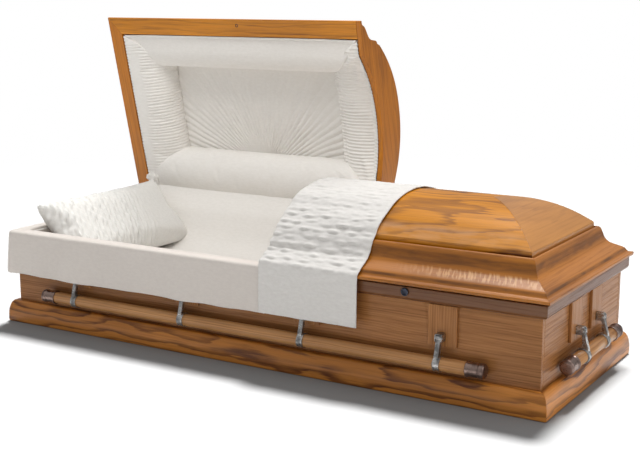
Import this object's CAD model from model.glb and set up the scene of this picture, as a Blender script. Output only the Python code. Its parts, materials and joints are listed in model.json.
# %% [markdown]
# # A half-couch oak casket
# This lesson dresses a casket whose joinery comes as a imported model. The boards keep their true size and
# place. What Blender adds is what the eye judges: eased edges, stained oak, cast metal and a cloth
# interior. Everything is in metres. X runs along the length to the foot end, -Y is the front and Z is up.

import json
import math

import bmesh
import bpy
import numpy as np
from mathutils import Euler, Matrix, Vector, noise

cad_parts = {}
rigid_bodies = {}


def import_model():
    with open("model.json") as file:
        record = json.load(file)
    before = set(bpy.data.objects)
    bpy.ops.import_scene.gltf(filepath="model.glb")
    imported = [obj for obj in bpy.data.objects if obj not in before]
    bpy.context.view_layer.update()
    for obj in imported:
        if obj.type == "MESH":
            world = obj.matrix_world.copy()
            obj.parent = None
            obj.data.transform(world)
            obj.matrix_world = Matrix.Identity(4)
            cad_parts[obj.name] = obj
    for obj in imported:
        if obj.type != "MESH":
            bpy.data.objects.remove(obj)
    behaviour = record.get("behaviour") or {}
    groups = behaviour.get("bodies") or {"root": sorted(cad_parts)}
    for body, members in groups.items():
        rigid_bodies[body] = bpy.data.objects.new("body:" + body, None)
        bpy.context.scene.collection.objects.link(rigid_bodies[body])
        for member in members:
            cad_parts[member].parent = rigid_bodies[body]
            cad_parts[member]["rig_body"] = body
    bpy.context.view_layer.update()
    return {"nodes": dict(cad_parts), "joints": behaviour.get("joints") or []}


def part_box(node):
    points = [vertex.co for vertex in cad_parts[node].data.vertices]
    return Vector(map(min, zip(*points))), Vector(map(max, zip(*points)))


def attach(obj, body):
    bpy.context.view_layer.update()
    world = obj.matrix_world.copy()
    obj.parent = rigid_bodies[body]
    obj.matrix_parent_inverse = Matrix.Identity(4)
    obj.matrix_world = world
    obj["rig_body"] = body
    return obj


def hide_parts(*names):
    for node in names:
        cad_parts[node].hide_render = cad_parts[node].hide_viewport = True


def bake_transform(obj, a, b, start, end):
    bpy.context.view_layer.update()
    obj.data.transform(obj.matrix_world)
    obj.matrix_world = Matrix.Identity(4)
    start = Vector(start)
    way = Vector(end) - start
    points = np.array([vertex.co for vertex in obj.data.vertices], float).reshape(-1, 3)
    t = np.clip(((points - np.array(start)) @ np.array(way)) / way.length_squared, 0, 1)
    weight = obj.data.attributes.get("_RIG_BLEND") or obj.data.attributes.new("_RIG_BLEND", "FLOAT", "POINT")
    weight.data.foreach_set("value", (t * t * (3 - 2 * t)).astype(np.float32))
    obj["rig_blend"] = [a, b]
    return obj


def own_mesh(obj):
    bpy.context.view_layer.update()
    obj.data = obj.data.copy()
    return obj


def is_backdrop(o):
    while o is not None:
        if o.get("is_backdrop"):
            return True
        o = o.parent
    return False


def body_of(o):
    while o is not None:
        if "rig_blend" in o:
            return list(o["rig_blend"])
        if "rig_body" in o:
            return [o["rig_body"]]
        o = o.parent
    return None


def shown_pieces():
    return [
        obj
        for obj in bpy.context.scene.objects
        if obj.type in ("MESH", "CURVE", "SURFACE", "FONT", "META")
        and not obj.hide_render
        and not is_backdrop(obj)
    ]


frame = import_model()
NODES = sorted(frame["nodes"])

# %% [markdown]
# ## Camera
# The view stands a little above the rim and looks along the casket from its foot end, so that the long
# side, the end and the open lid all show. The lens is fairly long, which keeps the sides nearly parallel.
# Its place and its focal length come from fitting a camera to the corners of the base and the lids in the
# photo.

# %% Camera
PHOTO_WIDTH, FOCAL_PIXELS, SENSOR = 640, 1195.96, 36.0
CAMERA_PLACE, CAMERA_TILT, CAMERA_TURN = (2.1964, -3.5230, 1.2132), 78.824, 31.157
camera_data = bpy.data.cameras.new("display_view")
camera_data.sensor_width = SENSOR
camera_data.lens = FOCAL_PIXELS * SENSOR / PHOTO_WIDTH
camera = bpy.data.objects.new("display_view", camera_data)
camera.location = CAMERA_PLACE
camera.rotation_euler = Euler((math.radians(CAMERA_TILT), 0, math.radians(CAMERA_TURN)))
bpy.context.scene.collection.objects.link(camera)
bpy.context.scene.camera = camera
print(f"lens {camera_data.lens:.2f} mm")

# %% [markdown]
# ## Floor and light
# A pale floor and soft light, as in a catalogue studio. The main light comes from behind and above. It is
# wide enough to have no hard edge, so the long front side lies in soft shade and the tops catch the
# light. One lamp lights the foot end, and one reaches into the open lid. A second sun is kept for the
# floor alone, and draws the shadow towards the viewer. What each lamp may shine on is settled at the end.

# %% Lamps
def soft_sun(name, towards, spread, power):
    data = bpy.data.lights.new(name, "SUN")
    data.energy, data.angle = power, math.radians(spread)
    lamp = bpy.data.objects.new(name, data)
    lamp.rotation_euler = Vector(towards).to_track_quat("-Z", "Y").to_euler()
    bpy.context.scene.collection.objects.link(lamp)
    return lamp


def softbox(name, place, aim, size, power):
    data = bpy.data.lights.new(name, "AREA")
    data.shape = "RECTANGLE"
    data.size, data.size_y = size
    data.energy = power
    lamp = bpy.data.objects.new(name, data)
    lamp.location = place
    lamp.rotation_euler = (Vector(aim) - Vector(place)).to_track_quat("-Z", "Y").to_euler()
    bpy.context.scene.collection.objects.link(lamp)
    return lamp


main_sun = soft_sun("light_from_behind", (0.10, -0.42, -1.0), 34, 2.4)
softbox("lamp_end", (4.6, -0.6, 1.9), (0.6, 0, 0.4), (2.2, 2.2), 28)
lid_lamp = softbox("lamp_into_lid", (0.0, -1.7, 3.9), (-0.5, 0.3, 0.5), (2.0, 1.6), 66)
floor_sun = soft_sun("light_on_floor", (0.12, -0.48, -1.0), 12, 13.0)
print("two suns and two lamps")

# %% [markdown]
# The room itself gives light too. It is bright overhead and dim at eye level, so upright faces are darker
# than flat ones, and the camera sees it as plain white.

# %% Surrounding light
SKY_OVERHEAD, SKY_LEVEL = 0.72, 0.30


def studio_world():
    world = bpy.data.worlds.new("studio")
    world.use_nodes = True
    tree = world.node_tree
    direction = tree.nodes.new("ShaderNodeTexCoord").outputs["Generated"]
    height = tree.nodes.new("ShaderNodeSeparateXYZ")
    tree.links.new(direction, height.inputs[0])
    glow = tree.nodes.new("ShaderNodeMapRange")
    tree.links.new(height.outputs["Z"], glow.inputs["Value"])
    glow.inputs["To Min"].default_value = SKY_LEVEL
    glow.inputs["To Max"].default_value = SKY_OVERHEAD
    seen = tree.nodes.new("ShaderNodeLightPath").outputs["Is Camera Ray"]
    strength = tree.nodes.new("ShaderNodeMath")
    strength.operation = "MAXIMUM"
    tree.links.new(glow.outputs["Result"], strength.inputs[0])
    tree.links.new(seen, strength.inputs[1])
    tree.links.new(strength.outputs[0], tree.nodes["Background"].inputs["Strength"])
    tree.nodes["Background"].inputs["Color"].default_value = (1, 1, 1, 1)
    return world


bpy.context.scene.world = studio_world()
bpy.context.scene.view_settings.view_transform = "Standard"
print("white room, dim at eye level")

# %% [markdown]
# ## Small helpers for shader nodes
# A shader tree reads best when each node is one line. `add_node` makes a node, sets its plain values and
# joins what comes in as a socket. `new_group` opens a node group with named inputs and outputs, and
# `new_material` opens a material at its Principled shader.

# %% Shader helpers
def add_node(tree, kind, inputs=None, **settings):
    made = tree.nodes.new(kind)
    for key, value in settings.items():
        setattr(made, key, value)
    for key, value in (inputs or {}).items():
        if isinstance(value, bpy.types.NodeSocket):
            tree.links.new(value, made.inputs[key])
        else:
            made.inputs[key].default_value = value
    return made


def maths(tree, operation, *values):
    made = add_node(tree, "ShaderNodeMath", dict(enumerate(values)), operation=operation)
    return made.outputs[0]


def vector_maths(tree, operation, *values):
    made = add_node(tree, "ShaderNodeVectorMath", dict(enumerate(values)), operation=operation)
    return made.outputs[0]


def fade(tree, value, low, high, out_low=0.0, out_high=1.0):
    inputs = {"Value": value, "From Min": low, "From Max": high, "To Min": out_low, "To Max": out_high}
    made = add_node(tree, "ShaderNodeMapRange", inputs, interpolation_type="SMOOTHSTEP")
    return made.outputs["Result"]


def blended(tree, factor, first, second):
    made = tree.nodes.new("ShaderNodeMix")
    made.data_type = "RGBA"
    colours = [socket for socket in made.inputs if socket.type == "RGBA"]
    factors = [socket for socket in made.inputs if socket.type == "VALUE"]
    for socket, value in ((factors[0], factor), (colours[0], first), (colours[1], second)):
        if isinstance(value, bpy.types.NodeSocket):
            tree.links.new(value, socket)
        else:
            socket.default_value = value
    return next(socket for socket in made.outputs if socket.type == "RGBA")


def new_group(name, inputs, outputs):
    tree = bpy.data.node_groups.new(name, "ShaderNodeTree")
    for label, (kind, value) in inputs.items():
        socket = tree.interface.new_socket(label, in_out="INPUT", socket_type=kind)
        if value is not None:
            socket.default_value = value
    for label, kind in outputs.items():
        tree.interface.new_socket(label, in_out="OUTPUT", socket_type=kind)
    source = tree.nodes.new("NodeGroupInput").outputs
    sink = tree.nodes.new("NodeGroupOutput").inputs
    return tree, source, sink


def new_material(name):
    material = bpy.data.materials.new(name)
    material.use_nodes = True
    return material, material.node_tree, material.node_tree.nodes["Principled BSDF"]


def relief_normal(tree, height, strength, distance):
    made = add_node(tree, "ShaderNodeBump", {"Height": height, "Strength": strength, "Distance": distance})
    return made.outputs["Normal"]


FLOAT, COLOUR, VECTOR = "NodeSocketFloat", "NodeSocketColor", "NodeSocketVector"
print("helpers for shader nodes")

# %% [markdown]
# The floor is a matt grey. Its own sun is so strong that it looks white where it is lit, and the casket's
# shadow drops well below that. Farther off it thins out into the white room, so that no horizon shows.

# %% Floor
FLOOR_SOLID, FLOOR_GONE, FLOOR_GREY = 2.6, 5.0, 0.26


def floor_finish():
    material, tree, shader = new_material("studio_floor")
    shader.inputs["Base Color"].default_value = (FLOOR_GREY, FLOOR_GREY, FLOOR_GREY, 1)
    shader.inputs["Roughness"].default_value = 0.8
    shader.inputs["Specular IOR Level"].default_value = 0.0
    place = add_node(tree, "ShaderNodeTexCoord").outputs["Object"]
    distance = add_node(tree, "ShaderNodeVectorMath", {0: place}, operation="LENGTH").outputs["Value"]
    tree.links.new(fade(tree, distance, FLOOR_SOLID, FLOOR_GONE, 1.0, 0.0), shader.inputs["Alpha"])
    return material


bpy.ops.mesh.primitive_plane_add(size=12, location=(0, 0, 0))
floor = bpy.context.object
floor.name = "floor"
floor.data.materials.append(floor_finish())
floor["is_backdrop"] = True
print("floor")

# %% [markdown]
# ## Oak
# Stained oak shows three things at once. Its growth rings make long flames where a board is cut flat. Its
# open pores take up stain as short dark dashes along the grain. And each board has its own tone. A
# picture of wood would repeat and would stretch at the mitres, so the rings are solid here: bent
# cylinders about a far pith, cut by whatever surface passes through them. The group's X axis is the
# grain's direction.

# %% Oak figure
def oak_figure_group():
    tree, source, sink = new_group(
        "oak_figure",
        {
            "Grain": (VECTOR, None),
            "Light": (COLOUR, (0.50, 0.22, 0.055, 1)),
            "Dark": (COLOUR, (0.13, 0.045, 0.012, 1)),
            "Ring Width": (FLOAT, 0.012),
            "Bend": (FLOAT, 0.05),
            "Flame": (FLOAT, 0.6),
            "Pores": (FLOAT, 0.5),
        },
        {"Color": COLOUR, "Roughness": FLOAT, "Height": FLOAT},
    )
    grain = source["Grain"]

    def streaks(scale, detail, roughness=0.5):
        stretched = vector_maths(tree, "MULTIPLY", grain, scale)
        inputs = {"Vector": stretched, "Scale": 1.0, "Detail": detail, "Roughness": roughness}
        return add_node(tree, "ShaderNodeTexNoise", inputs)

    slow = streaks((2.1, 7.0, 7.0), 1.5)
    centred = vector_maths(tree, "SUBTRACT", slow.outputs["Color"], (0.5, 0.5, 0.5))
    bend = add_node(tree, "ShaderNodeVectorMath", {0: centred, "Scale": source["Bend"]}, operation="SCALE")
    bent = vector_maths(tree, "ADD", grain, bend.outputs[0])
    split = add_node(tree, "ShaderNodeSeparateXYZ", {0: bent})
    across = maths(tree, "MULTIPLY", split.outputs["Y"], split.outputs["Y"])
    depth = maths(tree, "MULTIPLY", split.outputs["Z"], split.outputs["Z"])
    radius = maths(tree, "SQRT", maths(tree, "ADD", across, depth))
    ragged = fade(tree, streaks((9.0, 90.0, 90.0), 2.0).outputs["Fac"], 0.0, 1.0, -0.25, 0.25)
    ring = maths(tree, "ADD", maths(tree, "DIVIDE", radius, source["Ring Width"]), ragged)
    phase = maths(tree, "FRACT", ring)
    onset = fade(tree, phase, 0.0, 0.13)
    decay = fade(tree, phase, 0.13, 0.62, 1.0, 0.0)
    number = maths(tree, "FLOOR", ring)
    chance = add_node(tree, "ShaderNodeTexWhiteNoise", {"W": number}, noise_dimensions="1D")
    weight = fade(tree, chance.outputs["Value"], 0.0, 1.0, 0.25, 1.0)
    flame = maths(tree, "MULTIPLY", maths(tree, "MULTIPLY", onset, decay), weight)

    coarse = fade(tree, streaks((3.0, 130.0, 130.0), 3.0, 0.6).outputs["Fac"], 0.42, 0.68)
    fine = fade(tree, streaks((14.0, 620.0, 620.0), 2.0).outputs["Fac"], 0.50, 0.72)
    tone = fade(tree, streaks((1.6, 9.0, 9.0), 1.0).outputs["Fac"], 0.3, 0.7)

    pores = maths(tree, "ADD", coarse, maths(tree, "MULTIPLY", fine, 0.7))
    pores = maths(tree, "MULTIPLY", pores, source["Pores"])
    shade = maths(tree, "MULTIPLY", flame, source["Flame"])
    shade = maths(tree, "ADD", shade, maths(tree, "MULTIPLY", pores, 0.45))
    shade = maths(tree, "ADD", shade, maths(tree, "MULTIPLY", tone, 0.30))
    shade = maths(tree, "MINIMUM", shade, 1.0)
    colour = blended(tree, shade, source["Light"], source["Dark"])
    tree.links.new(colour, sink["Color"])
    tree.links.new(fade(tree, pores, 0.0, 1.0, 0.34, 0.50), sink["Roughness"])
    tree.links.new(maths(tree, "MULTIPLY", maths(tree, "ADD", pores, flame), -0.5), sink["Height"])
    return tree


OAK_FIGURE = oak_figure_group()
print("oak figure group with", len(OAK_FIGURE.nodes), "nodes")

# %% [markdown]
# A finisher wipes dark glaze over the mouldings, and it stays in the recesses. A second small group
# darkens a band between two heights, softly at its edges, with the glaze a little patchy along it.

# %% Recess glaze
def recess_glaze_group():
    tree, source, sink = new_group(
        "recess_glaze",
        {
            "Wood": (COLOUR, None),
            "Place": (VECTOR, None),
            "Low": (FLOAT, 0.0),
            "High": (FLOAT, 0.01),
            "Glaze": (COLOUR, (0.13, 0.045, 0.008, 1)),
            "Strength": (FLOAT, 0.70),
        },
        {"Color": COLOUR},
    )
    height = add_node(tree, "ShaderNodeSeparateXYZ", {0: source["Place"]}).outputs["Z"]
    edge = maths(tree, "MULTIPLY", maths(tree, "SUBTRACT", source["High"], source["Low"]), 0.35)
    above = fade(tree, height, source["Low"], maths(tree, "ADD", source["Low"], edge))
    below = fade(tree, height, maths(tree, "SUBTRACT", source["High"], edge), source["High"], 1.0, 0.0)
    stretched = vector_maths(tree, "MULTIPLY", source["Place"], (14.0, 14.0, 60.0))
    patches = add_node(tree, "ShaderNodeTexNoise", {"Vector": stretched, "Scale": 1.0, "Detail": 3.0})
    wiped = fade(tree, patches.outputs["Fac"], 0.30, 0.70, 0.45, 1.20)
    wiped = maths(tree, "MULTIPLY", wiped, source["Strength"])
    mask = maths(tree, "MULTIPLY", maths(tree, "MULTIPLY", above, below), wiped)
    mask = maths(tree, "MINIMUM", mask, 1.0)
    tree.links.new(blended(tree, mask, source["Wood"], source["Glaze"]), sink["Color"])
    return tree


RECESS_GLAZE = recess_glaze_group()
print("recess glaze group")

# %% [markdown]
# Oak that is cut on the quarter shows pale flecks across its grain, and they ripple in the light. They
# are strongest near the foot lid's corner. The third group lays short slanting flecks into a band of
# heights. The first two pairs are the heights over which they come in and go out, and the third is where
# they grow along X.

# %% Ray flecks
FLECKS_IN, FLECKS_OUT, FLECKS_GROW = (0.376, 0.386), (0.396, 0.404), (0.50, 0.80)
FLECK_SLANT, FLECK_STRETCH = (0, math.radians(35), 0), (150.0, 24.0, 24.0)
FLECK_FROM, FLECK_FULL, FLECK_PALEST = 0.42, 0.66, 0.55


def ray_fleck_group():
    inputs = {"Wood": (COLOUR, None), "Place": (VECTOR, None), "Fleck": (COLOUR, (0.68, 0.38, 0.15, 1))}
    tree, source, sink = new_group("ray_fleck", inputs, {"Color": COLOUR})
    split = add_node(tree, "ShaderNodeSeparateXYZ", {0: source["Place"]})
    above = fade(tree, split.outputs["Z"], *FLECKS_IN)
    below = fade(tree, split.outputs["Z"], *FLECKS_OUT, 1.0, 0.0)
    near_corner = fade(tree, split.outputs["X"], *FLECKS_GROW)
    slant = add_node(tree, "ShaderNodeMapping", {"Vector": source["Place"], "Rotation": FLECK_SLANT})
    short = vector_maths(tree, "MULTIPLY", slant.outputs["Vector"], FLECK_STRETCH)
    speckle = add_node(tree, "ShaderNodeTexNoise", {"Vector": short, "Scale": 1.0, "Detail": 1.0})
    fleck = fade(tree, speckle.outputs["Fac"], FLECK_FROM, FLECK_FULL, 0.0, FLECK_PALEST)
    band = maths(tree, "MULTIPLY", above, below)
    mask = maths(tree, "MULTIPLY", band, maths(tree, "MULTIPLY", near_corner, fleck))
    tree.links.new(blended(tree, mask, source["Wood"], source["Fleck"]), sink["Color"])
    return tree


RAY_FLECK = ray_fleck_group()
print("ray fleck group")

# %% [markdown]
# A board's grain runs along its length, so the grain space is the casket's space turned until the board
# lies along X. The open head lid is first turned back to where it closes. The pith is an offset: far
# below a face gives wide flames, and far to one side gives straight, even lines, as on a quarter-sawn
# board.

# %% Grain space and finish
HINGE = next(joint for joint in frame["joints"] if joint["name"] == "head_lid_hinge")
HINGE_LINE = Vector(HINGE["pos_m"])
LID_OPEN = math.radians(HINGE["range_deg"][1])
QUARTER = math.radians(90)
GRAIN_TURN = {"length": (0, 0, 0), "width": (0, 0, -QUARTER), "height": (0, QUARTER, 0)}


def grain_place(along, pith, opened):
    turn = Euler(GRAIN_TURN[along]).to_matrix()
    shift = Vector(pith)
    if opened:
        closing = Matrix.Rotation(LID_OPEN, 3, "X")
        shift += turn @ (HINGE_LINE - closing @ HINGE_LINE)
        turn = turn @ closing
    return turn.to_euler(), shift


def oak_finish(name, along, pith=(0, 0, 0), opened=False, gloss=0.30, glaze=(), flecked=False, **figure):
    material, tree, shader = new_material(name)
    turn, shift = grain_place(along, pith, opened)
    place = add_node(tree, "ShaderNodeTexCoord").outputs["Object"]
    grain = add_node(tree, "ShaderNodeMapping", {"Vector": place, "Rotation": turn, "Location": shift})
    oak = add_node(tree, "ShaderNodeGroup", node_tree=OAK_FIGURE)
    tree.links.new(grain.outputs["Vector"], oak.inputs["Grain"])
    for label, value in figure.items():
        oak.inputs[label.replace("_", " ").title()].default_value = value
    normal = relief_normal(tree, oak.outputs["Height"], 0.25, 0.0006)
    colour = oak.outputs["Color"]
    if flecked:
        fleck = add_node(tree, "ShaderNodeGroup", node_tree=RAY_FLECK)
        tree.links.new(colour, fleck.inputs["Wood"])
        tree.links.new(place, fleck.inputs["Place"])
        colour = fleck.outputs["Color"]
    for low, high, tint, strength in glaze:
        band = add_node(tree, "ShaderNodeGroup", node_tree=RECESS_GLAZE)
        tree.links.new(colour, band.inputs["Wood"])
        tree.links.new(place, band.inputs["Place"])
        band.inputs["Low"].default_value, band.inputs["High"].default_value = low, high
        band.inputs["Glaze"].default_value, band.inputs["Strength"].default_value = tint, strength
        colour = band.outputs["Color"]
    tree.links.new(colour, shader.inputs["Base Color"])
    tree.links.new(oak.outputs["Roughness"], shader.inputs["Roughness"])
    tree.links.new(normal, shader.inputs["Normal"])
    shader.inputs["Specular IOR Level"].default_value = gloss
    shader.inputs["Coat Weight"].default_value = 0.6 * gloss
    shader.inputs["Coat Roughness"].default_value = 0.18
    return material


GOLDEN, HONEY, TAN = (0.67, 0.25, 0.004, 1), (0.47, 0.165, 0.016, 1), (0.43, 0.185, 0.058, 1)
AMBER, RUSSET, WALNUT = (0.70, 0.26, 0.010, 1), (0.56, 0.19, 0.010, 1), (0.19, 0.084, 0.034, 1)
GINGER, OCHRE, SAND = (0.66, 0.25, 0.042, 1), (0.56, 0.24, 0.052, 1), (0.56, 0.28, 0.105, 1)
UMBER, COCOA = (0.105, 0.026, 0.004, 1), (0.17, 0.060, 0.014, 1)
print(f"nine light stains and two dark ones, on a lid that opens {math.degrees(LID_OPEN):.1f} degrees")

# %% [markdown]
# ## The joinery
# The frame's boards and mouldings have the right shape already, but every edge is knife sharp and every
# curve is made of flats. A joiner eases each arris with a stroke of sandpaper. A short stack of modifiers
# does that: weld the corners, drop the lines inside flat faces, bevel the arrises, and let large faces
# keep their own normals. The mesh itself stays as it came.

# %% Eased edges
FLAT_WITHIN, ARRIS_FROM = math.radians(0.4), math.radians(26)


def smooth_shading_group():
    tree = bpy.data.node_groups.new("smooth_shading", "GeometryNodeTree")
    tree.interface.new_socket("Geometry", in_out="INPUT", socket_type="NodeSocketGeometry")
    tree.interface.new_socket("Geometry", in_out="OUTPUT", socket_type="NodeSocketGeometry")
    source, sink = tree.nodes.new("NodeGroupInput"), tree.nodes.new("NodeGroupOutput")
    smooth = tree.nodes.new("GeometryNodeSetShadeSmooth")
    tree.links.new(source.outputs[0], smooth.inputs["Geometry"])
    tree.links.new(smooth.outputs[0], sink.inputs[0])
    return tree


SMOOTH_SHADING = smooth_shading_group()


def ease_edges(piece, width=0.0012):
    weld = piece.modifiers.new("weld_corners", "WELD")
    weld.merge_threshold = 1e-5
    flats = piece.modifiers.new("one_face_per_flat", "DECIMATE")
    flats.decimate_type = "DISSOLVE"
    flats.angle_limit = FLAT_WITHIN
    arris = piece.modifiers.new("eased_arris", "BEVEL")
    arris.width = width
    arris.segments = 2
    arris.limit_method = "ANGLE"
    arris.angle_limit = ARRIS_FROM
    arris.miter_outer = "MITER_ARC"
    shading = piece.modifiers.new("smooth_shading", "NODES")
    shading.node_group = SMOOTH_SHADING
    normals = piece.modifiers.new("face_normals", "WEIGHTED_NORMAL")
    normals.weight = 50


def finish_nodes(names, finish, width=0.0012):
    for name in names:
        piece = frame["nodes"][name]
        piece.data.materials.clear()
        piece.data.materials.append(finish)
        ease_edges(piece, width)
    print(f"{finish.name}: {len(names)} pieces")


def named(*starts):
    return [name for name in NODES if name.startswith(starts)]


print(f"edges that turn more than {math.degrees(ARRIS_FROM):.0f} degrees are eased")

# %% [markdown]
# ## Oak on every board
# The base has the boldest flames, the sides are straight and quiet, and the lid's crown is the golden
# show piece. Boards across the ends and the posts under the ears have their grain turned with them.

# %% Finish the body
base_figure = dict(light=GINGER, dark=UMBER, ring_width=0.017, bend=0.105, flame=0.75, pores=0.35)
rim_figure = dict(light=WALNUT, dark=UMBER, ring_width=0.009, bend=0.03, flame=0.4, pores=0.8)
side_figure = dict(light=TAN, dark=COCOA, ring_width=0.007, bend=0.03, flame=0.35, pores=0.8, gloss=0.2)
finish_nodes(
    ["base_moulding_front", "base_moulding_rear"],
    oak_finish("oak_base_long", "length", (0, 0, 0.30), **base_figure),
    width=0.002,
)
finish_nodes(
    ["base_moulding_head", "base_moulding_foot"],
    oak_finish("oak_base_end", "width", (0.3, 0.55, 0.30), **base_figure),
    width=0.002,
)
finish_nodes(
    ["side_board_front", "side_board_rear", "bottom_board"],
    oak_finish("oak_side", "length", (0, 0.1, 0.35), **side_figure),
)
finish_nodes(
    ["end_board_head", "end_board_foot"],
    oak_finish("oak_end", "width", (0, 0.1, 0.35), **side_figure),
)
finish_nodes(
    ["rim_moulding_front", "rim_moulding_rear"],
    oak_finish("oak_rim_long", "length", (0.7, 0.2, 0.2), **rim_figure),
)
finish_nodes(
    ["rim_moulding_head", "rim_moulding_foot"],
    oak_finish("oak_rim_end", "width", (0.7, 0.2, 0.2), **rim_figure),
)
finish_nodes(
    named("pilaster"),
    oak_finish("oak_post", "height", (0, 0.05, 0.2), **side_figure),
    width=0.0015,
)

# %% [markdown]
# The foot lid is closed and shows its outside. Dark glaze lies in its cove, under its nose and in the
# groove below the crown, and the crown's foot is rubbed pale. Each band of glaze is its lowest and
# highest height over the floor, its tint and its strength, so bands only suit a lid that is closed. The
# head lid stands open, and what shows of it is mostly the plain inner side of its frame, so it has a
# brighter stain and no bands.

# %% Finish the lids
crown_figure = dict(light=GOLDEN, dark=UMBER, ring_width=0.020, bend=0.12, flame=0.95, pores=0.35)
crown_figure["gloss"] = 0.14
crown_end_figure = dict(light=OCHRE, dark=UMBER, ring_width=0.060, bend=0.30, flame=0.14, pores=0.25)
moulding_figure = dict(dark=UMBER, ring_width=0.012, bend=0.07, pores=0.5)
BROWN_GLAZE, DARK_GLAZE, RUBBED = (0.15, 0.052, 0.009, 1), (0.05, 0.017, 0.005, 1), (0.66, 0.37, 0.19, 1)
COVE, UNDER_NOSE = (0.403, 0.447, BROWN_GLAZE, 0.65), (0.364, 0.376, DARK_GLAZE, 0.6)
GROOVE, CROWN_FOOT = (0.461, 0.469, DARK_GLAZE, 0.9), (0.455, 0.515, RUBBED, 0.42)
LID_LOOKS = {
    "head_lid": {
        "crown": dict(),
        "long": dict(light=AMBER, flame=0.22),
        "cross": dict(light=RUSSET, flame=0.25),
    },
    "foot_lid": {
        "crown": dict(glaze=(CROWN_FOOT,)),
        "long": dict(light=HONEY, flame=0.5, glaze=(COVE, UNDER_NOSE, GROOVE), flecked=True),
        "cross": dict(light=HONEY, flame=0.25, glaze=(COVE, UNDER_NOSE, GROOVE)),
    },
}
for lid, looks in LID_LOOKS.items():
    opened = lid == "head_lid"
    long_figure = {**moulding_figure, **looks["long"]}
    cross_figure = {**moulding_figure, **looks["cross"]}
    finish_nodes(
        [f"{lid}_crown_panel"],
        oak_finish(f"oak_{lid}_crown", "length", (0, 0.1, -0.1), opened, **crown_figure, **looks["crown"]),
    )
    finish_nodes(
        [f"{lid}_crown_end"],
        oak_finish(f"oak_{lid}_crown_end", "width", (0, 0.9, -0.2), opened, **crown_end_figure),
    )
    finish_nodes(
        [f"{lid}_moulding_front", f"{lid}_moulding_rear"],
        oak_finish(f"oak_{lid}_moulding", "length", (0.4, 0.2, -0.2), opened, **long_figure),
    )
    finish_nodes(
        [f"{lid}_moulding_end", f"{lid}_header_board"],
        oak_finish(f"oak_{lid}_cross", "width", (0.4, 0.9, -0.2), opened, **cross_figure),
    )

# %% [markdown]
# ## Metal
# The fittings are die-cast zinc. The arms are plated in an antique pewter: dark, then rubbed back so that
# the high spots shine. The tips are brushed bronze. A worn plating is a mask: clouds of tarnish, and fine
# brush lines along one axis. One group makes that mask and each metal uses it with its own values.

# %% Worn plating
def plating_group():
    tree, source, sink = new_group(
        "worn_plating",
        {
            "Place": (VECTOR, None),
            "Bright": (COLOUR, (0.6, 0.6, 0.6, 1)),
            "Tarnish": (COLOUR, (0.1, 0.1, 0.1, 1)),
            "Cloud Scale": (FLOAT, 60.0),
            "Brush Scale": (FLOAT, 900.0),
        },
        {"Color": COLOUR, "Roughness": FLOAT, "Height": FLOAT},
    )
    inputs = {"Vector": source["Place"], "Scale": source["Cloud Scale"], "Detail": 3.0}
    clouds = add_node(tree, "ShaderNodeTexNoise", inputs)
    stretched = vector_maths(tree, "MULTIPLY", source["Place"], (0.04, 1.0, 1.0))
    inputs = {"Vector": stretched, "Scale": source["Brush Scale"], "Detail": 2.0}
    brush = add_node(tree, "ShaderNodeTexNoise", inputs)
    tarnish = fade(tree, clouds.outputs["Fac"], 0.40, 0.66)
    colour = blended(tree, maths(tree, "MULTIPLY", tarnish, 0.7), source["Bright"], source["Tarnish"])
    tree.links.new(colour, sink["Color"])
    polish = fade(tree, tarnish, 0.0, 1.0, 0.22, 0.42)
    rough = maths(tree, "ADD", polish, maths(tree, "MULTIPLY", brush.outputs["Fac"], 0.1))
    tree.links.new(rough, sink["Roughness"])
    tree.links.new(brush.outputs["Fac"], sink["Height"])
    return tree


PLATING = plating_group()


def plated_finish(name, bright, tarnish, cloud=60.0, brush=900.0):
    material, tree, shader = new_material(name)
    plating = add_node(tree, "ShaderNodeGroup", node_tree=PLATING)
    tree.links.new(add_node(tree, "ShaderNodeTexCoord").outputs["Object"], plating.inputs["Place"])
    plating.inputs["Bright"].default_value = bright
    plating.inputs["Tarnish"].default_value = tarnish
    plating.inputs["Cloud Scale"].default_value = cloud
    plating.inputs["Brush Scale"].default_value = brush
    normal = relief_normal(tree, plating.outputs["Height"], 0.15, 0.0002)
    tree.links.new(plating.outputs["Color"], shader.inputs["Base Color"])
    tree.links.new(plating.outputs["Roughness"], shader.inputs["Roughness"])
    tree.links.new(normal, shader.inputs["Normal"])
    shader.inputs["Metallic"].default_value = 1.0
    return material


PEWTER = plated_finish("antique_pewter", (0.54, 0.53, 0.52, 1), (0.05, 0.046, 0.046, 1), 45.0)
BRONZE = plated_finish("brushed_bronze", (0.30, 0.215, 0.185, 1), (0.07, 0.040, 0.034, 1), 25.0)
BLACK_STEEL = plated_finish("blued_steel", (0.06, 0.065, 0.085, 1), (0.015, 0.015, 0.02, 1))
print("three plated metals")

# %% [markdown]
# ## Swing-bar handles
# Each side has one long round bar that hangs in slotted ears. A bar is turned oak, its ends are cased in
# metal tips, and each arm is a flat casting that clasps the bar with a ring. All of them are turned or
# extruded shapes, so three small helpers make them: one revolves a profile, one extrudes an outline, and
# one closes the mesh and rounds its edges.

# %% Turned and extruded shapes
def new_piece(name, mesh_data, finish):
    piece = bpy.data.objects.new(name, mesh_data)
    piece.data.materials.append(finish)
    bpy.context.scene.collection.objects.link(piece)
    return piece


def turned(mesh, profile, place, segments=40):
    """Revolves (distance along, radius) points about X, then places the result with a matrix."""
    rings = []
    for along, radius in profile:
        corners = []
        for k in range(segments):
            turn = 2 * math.pi * k / segments
            point = place @ Vector((along, radius * math.cos(turn), radius * math.sin(turn)))
            corners.append(mesh.verts.new(point))
        rings.append(corners)
    for first, second in zip(rings, rings[1:]):
        for k in range(segments):
            n = (k + 1) % segments
            mesh.faces.new((first[k], first[n], second[n], second[k]))
    mesh.faces.new(rings[0][::-1])
    mesh.faces.new(rings[-1])


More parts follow.
